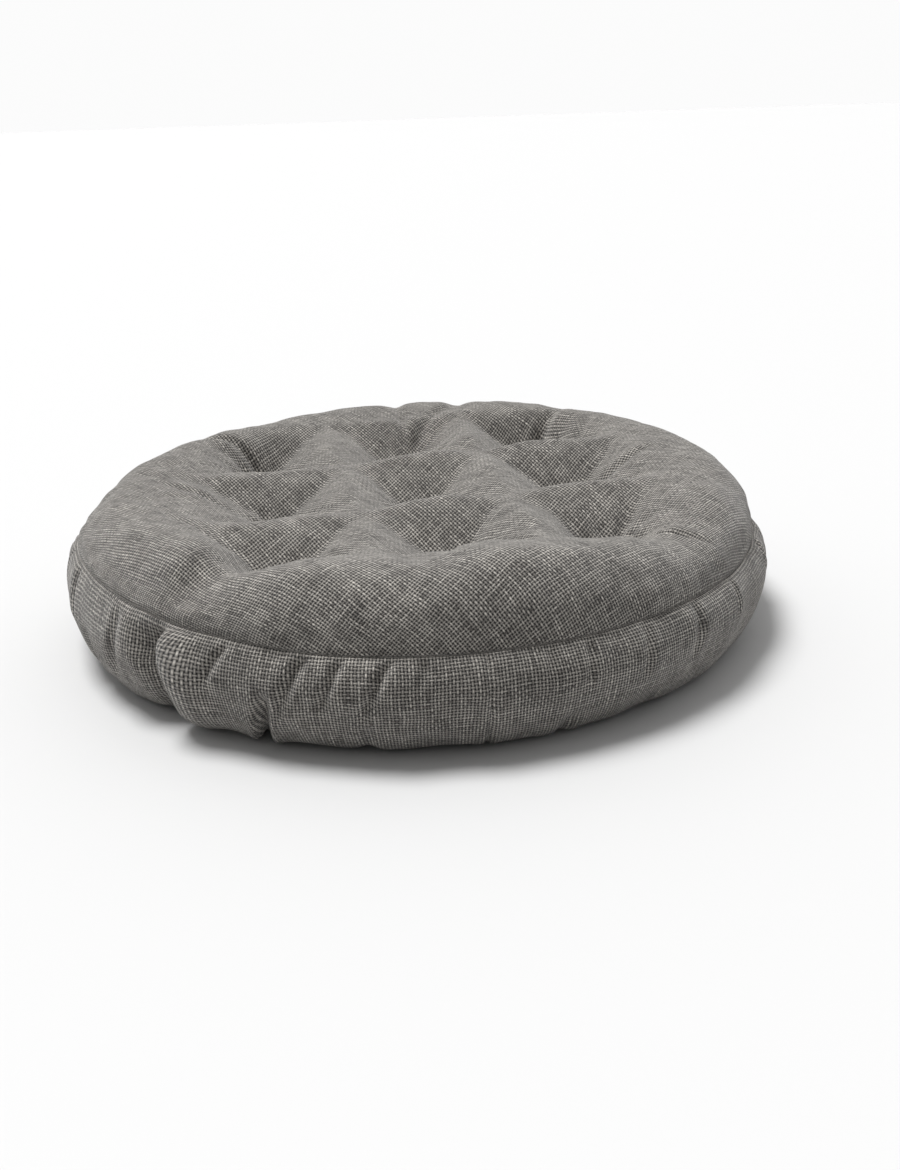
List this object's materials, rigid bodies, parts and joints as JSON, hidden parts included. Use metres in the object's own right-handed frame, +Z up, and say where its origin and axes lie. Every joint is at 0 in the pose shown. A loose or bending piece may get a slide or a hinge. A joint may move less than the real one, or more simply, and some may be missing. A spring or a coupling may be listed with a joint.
{
  "type": "chair seat pad",
  "caption": "Round tufted seat pad with a plump rim: woven top and bottom panels sewn to a side band, fibre filling, and twine stitches that pull the middle down.",
  "frame": {"origin": "on the surface the pad rests on, under the middle of the pad", "axes": "+Z up through the pad's thickness, -Y towards the front, +X to the right seen from the front"},
  "size_m": [0.397, 0.397, 0.085],
  "materials": {
    "linen_cloth": "matte",
    "fibre": "matte",
    "sewing_thread": "matte",
    "tufting_twine": "matte"
  },
  "bodies": {
    "root": {"top_cover_panel": "linen_cloth", "bottom_cover_panel": "linen_cloth", "side_band": "linen_cloth", "fibre_filling": "fibre", "upper_seam_thread": "sewing_thread", "lower_seam_thread": "sewing_thread", "band_join_thread": "sewing_thread", "tuft_stitch_front_left": "tufting_twine", "tuft_stitch_front_centre": "tufting_twine", "tuft_stitch_front_right": "tufting_twine", "tuft_stitch_middle_left": "tufting_twine", "tuft_stitch_middle_centre": "tufting_twine", "tuft_stitch_middle_right": "tufting_twine", "tuft_stitch_back_left": "tufting_twine", "tuft_stitch_back_centre": "tufting_twine", "tuft_stitch_back_right": "tufting_twine"}
  },
  "joints": []
}
